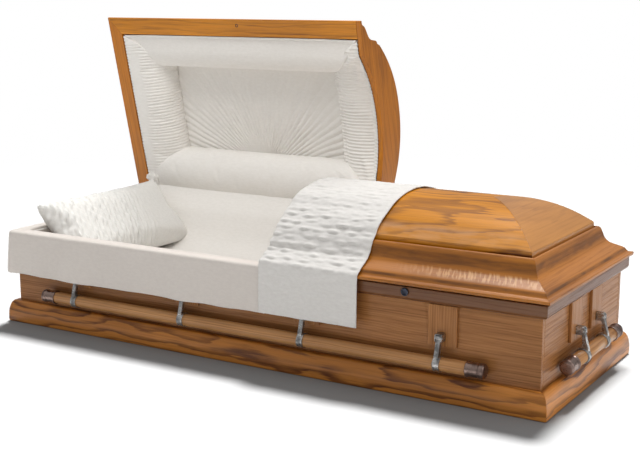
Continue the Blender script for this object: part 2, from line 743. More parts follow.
def extruded(mesh, outline, half_width, place):
    """Extrudes an outline of (out, up) points between -half_width and half_width along X."""
    ends = []
    for side in (-half_width, half_width):
        ends.append([mesh.verts.new(place @ Vector((side, -out, up))) for out, up in outline])
    count = len(outline)
    for k in range(count):
        n = (k + 1) % count
        mesh.faces.new((ends[0][k], ends[0][n], ends[1][n], ends[1][k]))
    mesh.faces.new(ends[0][::-1])
    mesh.faces.new(ends[1])


def closed_piece(name, mesh, finish, bevel=0.0, segments=2):
    bmesh.ops.recalc_face_normals(mesh, faces=mesh.faces)
    data = bpy.data.meshes.new(name)
    mesh.to_mesh(data)
    mesh.free()
    data.shade_smooth()
    piece = new_piece(name, data, finish)
    if bevel:
        arris = piece.modifiers.new("rounded_edges", "BEVEL")
        arris.width = bevel
        arris.segments = segments
        arris.limit_method = "ANGLE"
        arris.angle_limit = math.radians(35)
    normals = piece.modifiers.new("face_normals", "WEIGHTED_NORMAL")
    normals.weight = 50
    return piece


def arc(centre, radius, start, end, steps):
    turns = [math.radians(start + (end - start) * k / steps) for k in range(steps + 1)]
    return [(centre[0] + radius * math.cos(t), centre[1] + radius * math.sin(t)) for t in turns]


print("helpers for turned and extruded shapes")

# %% [markdown]
# Where a handle hangs comes from the model: its pivot from its joint, its ears from their own nodes and
# its length from its node's box. The thickness of its parts is set here. The tips are shorter than in the
# model and the rings a little wider, as judged by eye.

# %% Handle sizes
SIDES = {"front": 0.0, "foot": QUARTER, "rear": 2 * QUARTER, "head": -QUARTER}
JOINTS = {joint["name"]: joint for joint in frame["joints"]}
BAR_RADIUS, TIP_LENGTH = 0.021, 0.060
COLLAR_RADIUS, COLLAR_WIDTH, ARM_WIDTH = 0.0252, 0.023, 0.015
EYE_RADIUS, DROP = 0.008, 0.079


def handle_frame(side):
    pivot = Vector(JOINTS[f"handle_{side}_swing"]["pos_m"])
    return Matrix.Translation(pivot) @ Matrix.Rotation(SIDES[side], 4, "Z")


def ear_places(side):
    """Distances of the ears along their side, from the middle of the ears' own nodes."""
    to_side = handle_frame(side).inverted()
    middles = []
    for name in named(f"handle_ear_{side}"):
        low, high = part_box(name)
        middles.append((to_side @ ((low + high) / 2)).x)
    return middles


def bar_length(side):
    low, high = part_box(f"handle_{side}")
    return max(high.x - low.x, high.y - low.y)


for side in SIDES:
    print(f"handle_{side}: {bar_length(side):.3f} m with {len(ear_places(side))} arms")

# %% [markdown]
# A handle swings as one body, but it is three pieces here, because it is made of three materials. The
# tips are one turned profile used at both ends. The arms and their rings are cast together, one at each
# ear.

# %% Bars, tips and arms
def tip_profile(inner):
    """The sleeve from its mouth to its end: a bead, a plain barrel, a groove and a heavier end cap."""
    shape = [(0, 0.0215), (0, 0.0238), (0.002, 0.0250), (0.005, 0.0250), (0.007, 0.0236), (0.009, 0.0228)]
    shape += [(0.036, 0.0226), (0.038, 0.0216), (0.040, 0.0216), (0.042, 0.0236), (0.045, 0.0242)]
    shape += [(0.054, 0.0242), (0.0575, 0.0228), (0.0595, 0.0195), (TIP_LENGTH, 0.014)]
    return [(inner + along, radius) for along, radius in shape]


def arm_outline():
    """One arm seen along the bar: a round eye, a slim shank that swings out, and a foot on the collar."""
    eye = arc((0, 0), EYE_RADIUS, -50, 230, 14)
    back = [(-0.0030, -0.018), (-0.0010, -0.040), (0.0035, -0.052), (0.004, -DROP + 0.021)]
    front = [(0.0200, -DROP + 0.018), (0.0190, -DROP + 0.026), (0.0150, -0.040)]
    front += [(0.0110, -0.026), (0.0085, -0.014)]
    return eye + back + front


def make_handle(side, bar_finish):
    place = handle_frame(side)
    bar_place = place @ Matrix.Translation((0, 0, -DROP))
    half = bar_length(side) / 2
    inner = half - TIP_LENGTH
    body = f"handle_{side}"

    bar = bmesh.new()
    turned(bar, [(-inner - 0.01, BAR_RADIUS), (inner + 0.01, BAR_RADIUS)], bar_place, 48)
    wood = closed_piece(f"bar_{side}", bar, bar_finish)

    ends = bmesh.new()
    for flip in (0, 2 * QUARTER):
        turned(ends, tip_profile(inner), bar_place @ Matrix.Rotation(flip, 4, "Z"))
    tips = closed_piece(f"bar_tips_{side}", ends, BRONZE)

    castings = bmesh.new()
    half_ring = COLLAR_WIDTH / 2
    ring = [(-half_ring, 0.0213), (-half_ring, 0.0235), (-half_ring + 0.0015, COLLAR_RADIUS)]
    ring += [(-half_ring + 0.004, COLLAR_RADIUS), (-half_ring + 0.005, 0.0246)]
    ring += [(-along, radius) for along, radius in reversed(ring)]
    for x in ear_places(side):
        extruded(castings, arm_outline(), ARM_WIDTH / 2, place @ Matrix.Translation((x, 0, 0)))
        turned(castings, ring, bar_place @ Matrix.Translation((x, 0, 0)))
    arms = closed_piece(f"bar_arms_{side}", castings, PEWTER, 0.0022, 3)
    for piece in (wood, tips, arms):
        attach(piece, body)
        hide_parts(body)
    print(f"{wood.name}, {tips.name} and {arms.name}")


bar_figure = dict(light=SAND, dark=COCOA, ring_width=0.006, bend=0.02, flame=0.4, pores=0.5)
OAK_BAR_LONG = oak_finish("oak_bar_long", "length", (0, 0.3, 0.2), **bar_figure)
OAK_BAR_SHORT = oak_finish("oak_bar_short", "width", (0, 0.3, 0.2), **bar_figure)
for side, bar_finish in zip(SIDES, (OAK_BAR_LONG, OAK_BAR_SHORT) * 2):
    make_handle(side, bar_finish)

# %% [markdown]
# An ear is a small fork screwed to its post. Its roof is rounded, and a pin runs through both cheeks. It
# hardly shows behind its arm, but its bright roof is the first thing that one sees of a handle.

# %% Ears
CHEEK, SLOT = 0.0030, ARM_WIDTH + 0.002
EAR_BACK, EAR_BOTTOM, EAR_TOP, UNDER_ROOF = -0.0217, -0.012, 0.0135, 0.0095
ROOF_CENTRE, ROOF_RADIUS = (-0.0035, 0.0030), 0.0105


def make_ear(name, place):
    mesh = bmesh.new()
    roof = [(EAR_BACK, EAR_BOTTOM), (0.004, EAR_BOTTOM), (0.007, -0.008)]
    roof += arc(ROOF_CENTRE, ROOF_RADIUS, 0, 90, 6) + [(EAR_BACK, EAR_TOP)]
    for side in (-1, 1):
        cheek = place @ Matrix.Translation((side * (SLOT + CHEEK) / 2, 0, 0))
        extruded(mesh, roof, CHEEK / 2, cheek)
        outward_turn = Matrix.Rotation(QUARTER - side * QUARTER, 4, "Z")
        pin_head = cheek @ Matrix.Translation((side * CHEEK / 2, 0, 0)) @ outward_turn
        turned(mesh, [(-0.001, 0.0046), (0.0010, 0.0046), (0.0018, 0.0036), (0.0022, 0.0018)], pin_head, 16)
    crown = [(EAR_BACK, UNDER_ROOF), (-0.0035, UNDER_ROOF)]
    crown += arc(ROOF_CENTRE, ROOF_RADIUS, 45, 90, 4) + [(EAR_BACK, EAR_TOP)]
    extruded(mesh, crown, SLOT / 2 + 0.001, place)
    plate_front = EAR_BACK + 0.003
    plate = [(EAR_BACK, EAR_BOTTOM), (plate_front, EAR_BOTTOM), (plate_front, EAR_TOP), (EAR_BACK, EAR_TOP)]
    extruded(mesh, plate, SLOT / 2 + CHEEK, place)
    ear = closed_piece(f"{name}_cast", mesh, PEWTER, 0.0009)
    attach(ear, "root")
    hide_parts(name)


for side in SIDES:
    for name, x in zip(named(f"handle_ear_{side}"), ear_places(side)):
        make_ear(name, handle_frame(side) @ Matrix.Translation((x, 0, 0)))
print(len(named("handle_ear")), "ears")

# %% [markdown]
# ## Lock cap
# A blued steel cap screws over the key hole in the rim. It is a low dome with a rolled edge and a shallow
# dish, so it is one turned profile.

# %% Lock cap
def make_lock_cap():
    low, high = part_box("lock_cap")
    middle = (low + high) / 2
    place = Matrix.Translation((middle.x, high.y, middle.z)) @ Matrix.Rotation(-QUARTER, 4, "Z")
    radius, depth = (high.x - low.x) / 2, high.y - low.y
    profile = [(0, radius - 0.001), (depth - 0.002, radius), (depth - 0.0006, radius - 0.0008)]
    profile += [(depth, radius - 0.003), (depth - 0.0012, radius - 0.0045)]
    profile += [(depth - 0.0012, 0.003), (depth - 0.0009, 0.001)]
    mesh = bmesh.new()
    turned(mesh, profile, place, 48)
    cap = closed_piece("lock_cap_turned", mesh, BLACK_STEEL)
    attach(cap, "root")
    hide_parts("lock_cap")


make_lock_cap()
print("lock cap")

# %% [markdown]
# ## Cloth
# The inside is dressed in ivory crepe, a matt cloth with a fine pebbled crinkle. Close up one sees the
# crinkle, and from a step away only a soft, slightly uneven white. One group makes the crinkle from two
# sizes of noise, and it never needs UVs, because it is worked out from the place in space.

# %% Crepe
def crepe_group():
    tree, source, sink = new_group(
        "crepe_crinkle",
        {
            "Place": (VECTOR, None),
            "Cloth": (COLOUR, (0.86, 0.83, 0.78, 1)),
            "Shade": (COLOUR, (0.74, 0.70, 0.64, 1)),
            "Crinkle": (FLOAT, 380.0),
        },
        {"Color": COLOUR, "Height": FLOAT},
    )
    inputs = {"Vector": source["Place"], "Scale": source["Crinkle"], "Detail": 2.0, "Roughness": 0.6}
    pebble = add_node(tree, "ShaderNodeTexNoise", inputs)
    stretched = vector_maths(tree, "MULTIPLY", source["Place"], (60.0, 140.0, 140.0))
    ripple = add_node(tree, "ShaderNodeTexNoise", {"Vector": stretched, "Scale": 1.0, "Detail": 2.0})
    height = maths(tree, "ADD", maths(tree, "MULTIPLY", pebble.outputs["Fac"], 0.5), ripple.outputs["Fac"])
    hollow = fade(tree, height, 0.55, 0.95, 0.5, 0.0)
    tree.links.new(blended(tree, hollow, source["Cloth"], source["Shade"]), sink["Color"])
    tree.links.new(height, sink["Height"])
    return tree


CREPE = crepe_group()


def crepe_finish(name, cloth=(0.84, 0.81, 0.765, 1), shade=(0.78, 0.75, 0.70, 1), relief=0.10):
    material, tree, shader = new_material(name)
    crepe = add_node(tree, "ShaderNodeGroup", node_tree=CREPE)
    tree.links.new(add_node(tree, "ShaderNodeTexCoord").outputs["Object"], crepe.inputs["Place"])
    crepe.inputs["Cloth"].default_value = cloth
    crepe.inputs["Shade"].default_value = shade
    normal = relief_normal(tree, crepe.outputs["Height"], relief, 0.001)
    tree.links.new(crepe.outputs["Color"], shader.inputs["Base Color"])
    tree.links.new(normal, shader.inputs["Normal"])
    shader.inputs["Roughness"].default_value = 0.85
    shader.inputs["Sheen Weight"].default_value = 0.15
    return material


IVORY_CREPE = crepe_finish("ivory_crepe")
THROW_CREPE = crepe_finish("throw_crepe", (0.76, 0.735, 0.70, 1), (0.68, 0.65, 0.615, 1), 0.12)
APRON_CREPE = crepe_finish("apron_crepe", (0.73, 0.67, 0.615, 1), (0.67, 0.61, 0.56, 1), 0.10)
print("three cuts of crepe")

# %% [markdown]
# A cloth piece is a grid of points that a formula or a few lines lay out. These helpers make the grid a
# mesh, pull even points along a line, give each point its outward direction, and add soft unevenness and
# puckers.

# %% Cloth helpers
def grid_faces(rows, columns, start=0, flip=False):
    faces = []
    for i in range(rows - 1):
        for j in range(columns - 1):
            a = start + i * columns + j
            quad = (a, a + 1, a + columns + 1, a + columns)
            faces.append(quad[::-1] if flip else quad)
    return faces


def cloth_piece(name, points, finish):
    rows, columns = points.shape[:2]
    data = bpy.data.meshes.new(name)
    data.from_pydata([tuple(p) for p in points.reshape(-1, 3)], [], grid_faces(rows, columns))
    data.shade_smooth()
    piece = new_piece(name, data, finish)
    return piece


def lengths_along(points):
    """How far along a line each of its points is."""
    return np.r_[0, np.cumsum(np.linalg.norm(np.diff(points, axis=0), axis=1))]


def evenly(points, count):
    """The same line in evenly spaced points."""
    steps = lengths_along(points)
    even = np.linspace(0, steps[-1], count)
    return np.column_stack([np.interp(even, steps, column) for column in points.T])


def evenly_spaced(points, spacing):
    return evenly(points, int(lengths_along(points)[-1] / spacing) + 1)


def left_of(path):
    """Unit normals of a path in plan, on the left of the way it runs."""
    left = np.gradient(path, axis=0) @ np.array(((0, 1), (-1, 0)))
    return left / np.linalg.norm(left, axis=1, keepdims=True)


def smooth_line(points, count):
    """Evenly spaced points along a smooth line through the given ones."""
    points = np.array(points, float)
    ends = np.vstack([2 * points[0] - points[1], points, 2 * points[-1] - points[-2]])
    fine = []
    for a, b, c, d in zip(ends, ends[1:], ends[2:], ends[3:]):
        for t in np.linspace(0, 1, 16, endpoint=False):
            bend = (2 * a - 5 * b + 4 * c - d) * t * t + (3 * b - a - 3 * c + d) * t ** 3
            fine.append(0.5 * (2 * b + (c - a) * t + bend))
    return evenly(np.array(fine + [points[-1]]), count)


def outward(points):
    """Unit normals of a grid of points."""
    normal = np.cross(np.gradient(points, axis=1), np.gradient(points, axis=0))
    return normal / np.maximum(np.linalg.norm(normal, axis=2, keepdims=True), 1e-9)


def uneven(points, scale, seed=0):
    """Soft noise of both signs at each point of a grid. scale may differ in X, Y and Z."""
    stretch = np.broadcast_to(scale, 3)
    flat = points.reshape(-1, 3) * stretch + seed * 7.31
    values = [noise.noise(Vector(p)) for p in flat]
    return np.array(values).reshape(points.shape[:2])


def soft_step(value, low, high):
    t = np.clip((value - low) / (high - low), 0, 1)
    return t * t * (3 - 2 * t)


def puckers(along, down, pitch, size, seed):
    """Lens-shaped puckers in staggered rows: a rounded top with a sharp crease below it."""
    height = np.zeros_like(along)
    row = np.floor(down / pitch[1])
    for step in (-1, 0, 1):
        lane = row + step
        stagger = 0.5 * np.mod(lane, 2)
        cell = np.floor(along / pitch[0] - stagger)
        for side in (-1, 0, 1):
            spot = cell + side
            dice = np.sin(spot * 127.1 + lane * 311.7 + seed) * 43758.5
            first, second, third = (np.mod(dice * k, 1.0) for k in (1.0, 1.7, 2.3))
            middle = (spot + stagger + 0.5 + 0.35 * (first - 0.5)) * pitch[0]
            level = (lane + 0.5 + 0.45 * (second - 0.5)) * pitch[1]
            across = (along - middle) / size[0]
            under = (down - level + 0.12 * size[1] * across * across) / size[1]
            lens = np.exp(-across ** 2) * (0.45 + 0.75 * third)
            height += lens * (np.exp(-(under + 0.35) ** 2 * 2.2) - 0.8 * np.exp(-(under - 0.55) ** 2 * 9))
    return height


def thicken(piece, thickness, offset=-1):
    cloth = piece.modifiers.new("cloth_thickness", "SOLIDIFY")
    cloth.thickness = thickness
    cloth.offset = offset


print("helpers for cloth")

# %% [markdown]
# ## Padded puffs
# A puff is batting under crepe, stapled along its edges. So each one is a thin closed shell: its back and
# its edges are held, and Blender's Cloth blows its front out with a little pressure and slightly more
# cloth than the frame needs. That gives the soft crown and the small tucks at the seams.

# %% Stuffing
def settled(piece):
    """Applies all modifiers and returns the finished mesh's points."""
    depsgraph = bpy.context.evaluated_depsgraph_get()
    data = bpy.data.meshes.new_from_object(piece.evaluated_get(depsgraph))
    piece.modifiers.clear()
    old = piece.data
    piece.data = data
    bpy.data.meshes.remove(old)
    data.shade_smooth()
    return points_of(piece)


def points_of(piece):
    points = np.empty(3 * len(piece.data.vertices), np.float32)
    piece.data.vertices.foreach_get("co", points)
    return points.reshape(-1, 3).astype(float)


def place_points(piece, points):
    piece.data.vertices.foreach_set("co", points.astype(np.float32).ravel())
    piece.data.update()


def stuff(piece, held, most, pressure=4.0, fullness=0.05):
    """Inflates a closed shell with Cloth. held are the points that stay. None moves farther than most."""
    group = piece.vertex_groups.new(name="stapled")
    group.add([int(k) for k in held], 1.0, "REPLACE")
    before = points_of(piece)
    cloth = piece.modifiers.new("batting", "CLOTH")
    settings = cloth.settings
    settings.quality = 5
    settings.mass = 0.2
    settings.use_pressure = True
    settings.uniform_pressure_force = pressure
    settings.shrink_min = -fullness
    settings.bending_stiffness = 0.3
    settings.effector_weights.gravity = 0
    if len(held):
        settings.vertex_group_mass = "stapled"
    cloth.point_cache.frame_start, cloth.point_cache.frame_end = 1, 20
    for step in range(1, 21):
        bpy.context.scene.frame_set(step)
    depsgraph = bpy.context.evaluated_depsgraph_get()
    data = piece.evaluated_get(depsgraph).to_mesh()
    after = np.array([tuple(v.co) for v in data.vertices])
    piece.evaluated_get(depsgraph).to_mesh_clear()
    piece.modifiers.clear()
    bpy.context.scene.frame_set(1)
    move = after - before
    length = np.linalg.norm(move, axis=1, keepdims=True)
    place_points(piece, before + move * np.minimum(1, most / np.maximum(length, 1e-9)))


def shell(name, front, back, finish):
    """A closed shell of two grids that share their edge. Returns the piece and the points that stay."""
    rows, columns = front.shape[:2]
    count = rows * columns
    inner = np.zeros((rows, columns), bool)
    inner[1:-1, 1:-1] = True
    number = np.arange(count).reshape(rows, columns)
    second = number.copy()
    second[inner] = count + np.arange(inner.sum())
    points = np.vstack([front.reshape(-1, 3), back[inner]])
    faces = []
    for i in range(rows - 1):
        for j in range(columns - 1):
            faces.append((number[i, j], number[i, j + 1], number[i + 1, j + 1], number[i + 1, j]))
            faces.append((second[i, j], second[i + 1, j], second[i + 1, j + 1], second[i, j + 1]))
    data = bpy.data.meshes.new(name)
    data.from_pydata([tuple(p) for p in points], [], [tuple(int(k) for k in face) for face in faces])
    mesh = bmesh.new()
    mesh.from_mesh(data)
    bmesh.ops.recalc_face_normals(mesh, faces=mesh.faces)
    mesh.to_mesh(data)
    mesh.free()
    data.shade_smooth()
    piece = new_piece(name, data, finish)
    return piece, np.concatenate([number[~inner], second[inner]])


def subdivided(piece, levels=1):
    """Softens a shell and returns its finished points."""
    smooth = piece.modifiers.new("subdivision", "SUBSURF")
    smooth.levels = smooth.render_levels = levels
    return settled(piece)


print("helpers for stuffed shells")

# %% [markdown]
# ## The open lid's liner
# Four puffs slope in from the lid's frame to a cap panel, mitred at the corners. Those along the front
# and the hinge are smooth. Those at the head end and at the split are shirred into small ridges. All are
# laid out in the lid's own measures: x along it, u back from its front lip, h up from its underside. Then
# they tilt open.

# %% Lid measures
LID_MIDDLE, LID_BOTTOM = 0.396, 0.348
LID_FRONT = -LID_MIDDLE
OPENING = Matrix.Rotation(-LID_OPEN, 3, "X")
HINGE_ARM = np.array(HINGE_LINE)


def swung_open(points):
    return (points - HINGE_ARM) @ np.array(OPENING).T + HINGE_ARM


def swung_closed(points):
    return (points - HINGE_ARM) @ np.array(OPENING) + HINGE_ARM


def on_open_lid(points):
    """Points (x, u, h) of the head lid, in its open place."""
    return swung_open(points + np.array((0, LID_FRONT, LID_BOTTOM)))


ARCH_FROM, ARCH_TO, ARCH_RISE = 0.126, 0.666, 0.080
FRAME_OPENING = dict(x0=-1.0035, x1=0.0815, u0=0.067, u1=0.725)
CAP_PANEL = dict(x0=-0.846, x1=-0.075, u0=0.215, u1=0.577)
PANEL_DEPTH = 0.123


def arch_height(u):
    half = (ARCH_TO - ARCH_FROM) / 2
    radius = (half * half + ARCH_RISE ** 2) / (2 * ARCH_RISE)
    away = np.clip(np.abs(u - LID_MIDDLE), 0, half)
    return ARCH_RISE - radius + np.sqrt(radius * radius - away * away)


def puff_grids(side, columns, rows, crown, lean):
    """Front and back grids of one side's puff, from the frame (first row) to the cap panel (last row)."""
    f, c = FRAME_OPENING, CAP_PANEL
    corners = {
        "front": ((f["x0"], f["u0"]), (f["x1"], f["u0"]), (c["x0"], c["u0"]), (c["x1"], c["u0"])),
        "rear": ((f["x1"], f["u1"]), (f["x0"], f["u1"]), (c["x1"], c["u1"]), (c["x0"], c["u1"])),
        "head": ((f["x0"], f["u1"]), (f["x0"], f["u0"]), (c["x0"], c["u1"]), (c["x0"], c["u0"])),
        "split": ((f["x1"], f["u0"]), (f["x1"], f["u1"]), (c["x1"], c["u0"]), (c["x1"], c["u1"])),
    }[side]
    t = np.linspace(0, 1, rows)[:, None, None]
    lap = 0.022 * soft_step(t, 0.0, 0.3)
    s = np.linspace(0, 1, columns)[None, :, None] * (1 + 2 * lap) - lap
    ends = np.clip(np.abs(2 * np.linspace(0, 1, columns)[None, :, None] - 1), 0, 1)
    a, b, d, e = (np.array(corner) for corner in corners)
    outer, inner = a + (b - a) * s, d + (e - d) * s
    plan = outer + (inner - outer) * t
    low = np.full(outer.shape[:2], 0.002)
    if side == "split":
        low = low + arch_height(outer[..., 1])
    height = low + (PANEL_DEPTH - low) * t[..., 0]
    back = np.dstack([plan, height])
    into = {"front": (0, 0.66, -0.75), "rear": (0, -0.66, -0.75)}
    into.update(head=(0.62, 0, -0.78), split=(-0.62, 0, -0.78))
    bulge = np.sin(np.pi * t ** lean) ** 0.62 * (1 - ends ** 34) ** 0.5 * crown
    front = back + bulge * np.array(into[side])
    front[..., 2] = np.maximum(front[..., 2], 0.001)
    return front, back


opening_size = [FRAME_OPENING["x1"] - FRAME_OPENING["x0"], FRAME_OPENING["u1"] - FRAME_OPENING["u0"]]
print("lid opening", [round(size, 3) for size in opening_size], "m")

# %% [markdown]
# Each puff is closed from its two grids and stuffed. Shirring draws the two short ones into ridges, and
# the subdivision before it gives those ridges enough points. The one at the head end is then pressed
# level with the lid's underside, because it lies on the rim when the lid closes.

# %% Sew the puffs
SHIRRED = ("head", "split")
RIDGE_PITCH = 0.0125


def make_puff(side, columns, rows, crown, lean, most, fullness):
    front, back = puff_grids(side, columns, rows, crown, lean)
    piece, held = shell(f"liner_puff_{side}", on_open_lid(front), on_open_lid(back), IVORY_CREPE)
    stuff(piece, held, most, fullness=fullness)
    subdivided(piece, 2 if side in SHIRRED else 1)
    if side in SHIRRED:
        shirr(piece)
    if side == "head":
        press_level(piece)
    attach(piece, "head_lid")
    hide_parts("head_lid_liner")
    print(f"{piece.name}: {len(piece.data.polygons)} faces")


def press_level(piece):
    """Keeps the puff above the lid's underside, where the rim presses it."""
    closed = swung_closed(points_of(piece))
    closed[:, 2] = np.maximum(closed[:, 2], LID_BOTTOM + 0.0006)
    place_points(piece, swung_open(closed))


def shirr(piece):
    """Gathers ridges across the puff, each a little uneven, as elastic thread does."""
    points = points_of(piece)
    normals = np.array([tuple(v.normal) for v in piece.data.vertices])
    closed = swung_closed(points)
    u = closed[:, 1] - LID_FRONT
    drift = np.array([noise.noise(Vector((x * 9, v * 30, 3.1))) for x, v in zip(closed[:, 0], u)])
    fade_in = np.array([noise.noise(Vector((x * 14, v * 18, 8.4))) for x, v in zip(closed[:, 0], u)])
    ridge = np.abs(np.sin(np.pi * (u / RIDGE_PITCH + 0.35 * drift))) ** 0.8
    points += normals * (0.0036 * (ridge - 0.5) * (1.0 + 0.6 * fade_in))[:, None]
    place_points(piece, points)


make_puff("front", 110, 22, 0.070, 1.35, 0.014, 0.03)
make_puff("rear", 110, 24, 0.072, 1.1, 0.012, 0.005)
make_puff("head", 76, 22, 0.052, 1.2, 0.012, 0.02)
make_puff("split", 76, 22, 0.052, 1.2, 0.012, 0.02)

# %% [markdown]
# The cap panel is a fan of pleats that spreads from a point behind the rear puff. A fan is easiest on a
# grid of rays, because each pleat then follows a line of the mesh: half a wave for its rounded back, and
# a sharp valley. Half a turn would hold 46 pleats, and the fan opens a little less far than that.

# %% Cap panel
FAN_CENTRE, FAN_FROM = (-0.470, 0.660), 0.602
FAN_PLEATS, FAN_START, FAN_END = 46, 8, 172


def make_cap_panel():
    c, margin = CAP_PANEL, 0.02
    turns = np.linspace(math.radians(FAN_START), math.radians(FAN_END), FAN_PLEATS * 7 + 1)
    reach = np.linspace(0, 1, 44) ** 1.15
    cosine, sine = np.cos(turns), np.sin(turns)
    side = np.where(cosine > 0, c["x1"] + margin - FAN_CENTRE[0], c["x0"] - margin - FAN_CENTRE[0])
    to_side = side / np.where(np.abs(cosine) < 1e-6, 1e-6, cosine)
    to_top = (FAN_CENTRE[1] - c["u0"] + margin) / sine
    far = np.minimum(to_side, to_top)
    near = np.minimum((FAN_CENTRE[1] - FAN_FROM) / sine, far - 0.004)
    radius = near + (far - near) * reach[:, None]
    x = FAN_CENTRE[0] + radius * cosine
    u = FAN_CENTRE[1] - radius * sine
    base = np.dstack([x, u, np.full_like(x, PANEL_DEPTH)])
    drift = uneven(base, 9.0, 2)
    wave = np.abs(np.sin(turns * FAN_PLEATS + 0.6 * drift)) ** 0.8
    strength = (0.0022 + 0.0028 * soft_step(u, 0.24, 0.48)) * (1 + 0.8 * uneven(base, (14, 5, 1), 5))
    base[..., 2] -= strength * wave + 0.004 * (1 + uneven(base, 4.0, 9))
    panel = cloth_piece("liner_cap_panel", on_open_lid(base), IVORY_CREPE)
    thicken(panel, 0.0012, 1)
    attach(panel, "head_lid")
    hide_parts("head_lid_liner")
    print(f"fan of about {FAN_PLEATS * (FAN_END - FAN_START) / 180:.0f} pleats")


make_cap_panel()

# %% [markdown]
# One width of cloth lies on the mattress, sweeps up the rear wall and over the rim, and ends under the
# rear puff, so that the hinge never shows. It bends with the lid: its lower part belongs to the body and
# its upper edge to the lid. It is one curve drawn from the mattress to the lid, and swept along X.

# %% Hinge flap
def make_hinge_flap():
    up_to_rim = [(0.020, 0.1935), (0.120, 0.1945), (0.200, 0.200), (0.255, 0.219)]
    up_to_rim += [(0.288, 0.257), (0.308, 0.305)]
    up_to_lid = [(0.3225, 0.345), (0.3415, 0.372), (0.3625, 0.399), (0.376, 0.420), (0.380, 0.428)]
    line = smooth_line(up_to_rim + up_to_lid, 64)
    xs = np.linspace(-0.985, 0.086, 180)
    points = np.array([[(x, y, z) for x in xs] for y, z in line])
    up = np.linspace(0, 1, len(line))[:, None]
    points[..., 1] -= 0.004 * np.sin(np.pi * up) * (1 + uneven(points, (9, 3, 3), 4))
    flap = cloth_piece("hinge_flap", points[:, ::-1], IVORY_CREPE)
    thicken(flap, 0.0012)
    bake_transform(flap, "root", "head_lid", start=(0, 0.334, 0.345), end=(0, 0.379, 0.424))
    print(f"hinge cloth: {len(flap.data.polygons)} faces")


make_hinge_flap()

# %% [markdown]
# ## Wall lining
# Crepe over thin batting covers the four walls, stretched between its top and the mattress. A real one
# swells a little into the inside. Here the strip bows the other way, towards the boards, and behind the
# rim's inner face. It is made as one strip round a plan with rounded corners, so it has a single seam.

# %% Wall lining
INSIDE_X, INSIDE_Y, RIM_TOP, BED_TOP = 0.9955, 0.3275, 0.342, 0.190


def rounded_plan(half_x, half_y, radius, spacing):
    """Points round a rectangle with rounded corners, evenly spaced, the first one repeated at the end."""
    points = []
    for k, (sx, sy) in enumerate(((1, -1), (1, 1), (-1, 1), (-1, -1))):
        centre = (sx * (half_x - radius), sy * (half_y - radius))
        points += arc(centre, radius, -90 + 90 * k, 90 * k, 6)
    points.append(points[0])
    return evenly_spaced(np.array(points), spacing)


def make_wall_lining():
    plan = rounded_plan(INSIDE_X, INSIDE_Y, 0.012, 0.008)
    heights = np.linspace(RIM_TOP - 0.002, BED_TOP - 0.012, 22)
    away = -left_of(plan)
    points = np.array([[(*p, z) for p in plan] for z in heights])
    swell = np.sin(np.pi * np.linspace(0.0, 1, len(heights)))[:, None]
    depth = 0.009 * swell * (1 + 0.5 * uneven(points, (5, 5, 9), 3))
    depth += 0.0012 * uneven(points, (40, 40, 14), 6)
    points[..., :2] += away * np.where(swell > 0, depth, 0)[..., None]
    lining = cloth_piece("wall_lining", points, IVORY_CREPE)
    thicken(lining, 0.0015, 1)
    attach(lining, "root")
    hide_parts("interior_lining")
    print(f"wall lining: {len(lining.data.polygons)} faces")


make_wall_lining()

# %% [markdown]
# ## Mattress
# The mattress is one upholstered slab, crowned on top and rounded at its edges. It is a shell of two
# grids like a puff, but it is firm, so its crown is worked into the top grid and nothing inflates it.

# %% Mattress
def make_mattress():
    low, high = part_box("mattress")
    half = (high - low) / 2 - Vector((0.004, 0.004, 0))
    middle = (high + low) / 2
    x, y = np.meshgrid(np.linspace(-1, 1, 76), np.linspace(-1, 1, 30))
    round_x, round_y = (np.sign(v) * (1 - (1 - np.abs(v)) ** 1.25) for v in (x, y))
    crown = ((1 - np.abs(x) ** 16) * (1 - np.abs(y) ** 8)) ** 0.5
    height = high.z - 0.009 + 0.007 * crown
    top = np.dstack([middle.x + half.x * round_x, middle.y + half.y * round_y, height])
    top[..., 2] += 0.0015 * crown * uneven(top, 7.0, 1)
    bottom = top.copy()
    bottom[..., 2] = low.z + 0.004
    piece, _ = shell("mattress_pad", top[:, ::-1], bottom[:, ::-1], IVORY_CREPE)
    subdivided(piece)
    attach(piece, "root")
    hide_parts("mattress")
    print(f"mattress: {len(piece.data.polygons)} faces")


make_mattress()

# %% [markdown]
# ## Pillow
# A pillow is two flat sheets sewn round their edge and filled, so its corners stay pointed and the seams
# draw in between them. Cloth gives that shape by itself, from a thin lens. The cover is crushed: short
# puckers run over its front half and fade out behind. It leans on the head end, and the closing lid
# presses it to half its height.

# %% Pillow
PILLOW_LONG, PILLOW_WIDE, PILLOW_THICK = 0.625, 0.328, 0.120
PILLOW_TURN = Matrix.Rotation(math.radians(-5.6), 3, "Z") @ Matrix.Rotation(math.radians(2.2), 3, "X")
PILLOW_TURN = np.array(PILLOW_TURN @ Matrix.Rotation(math.radians(47.5), 3, "Y"))
PILLOW_MIDDLE = np.array((-0.874, 0.012, 0.325))


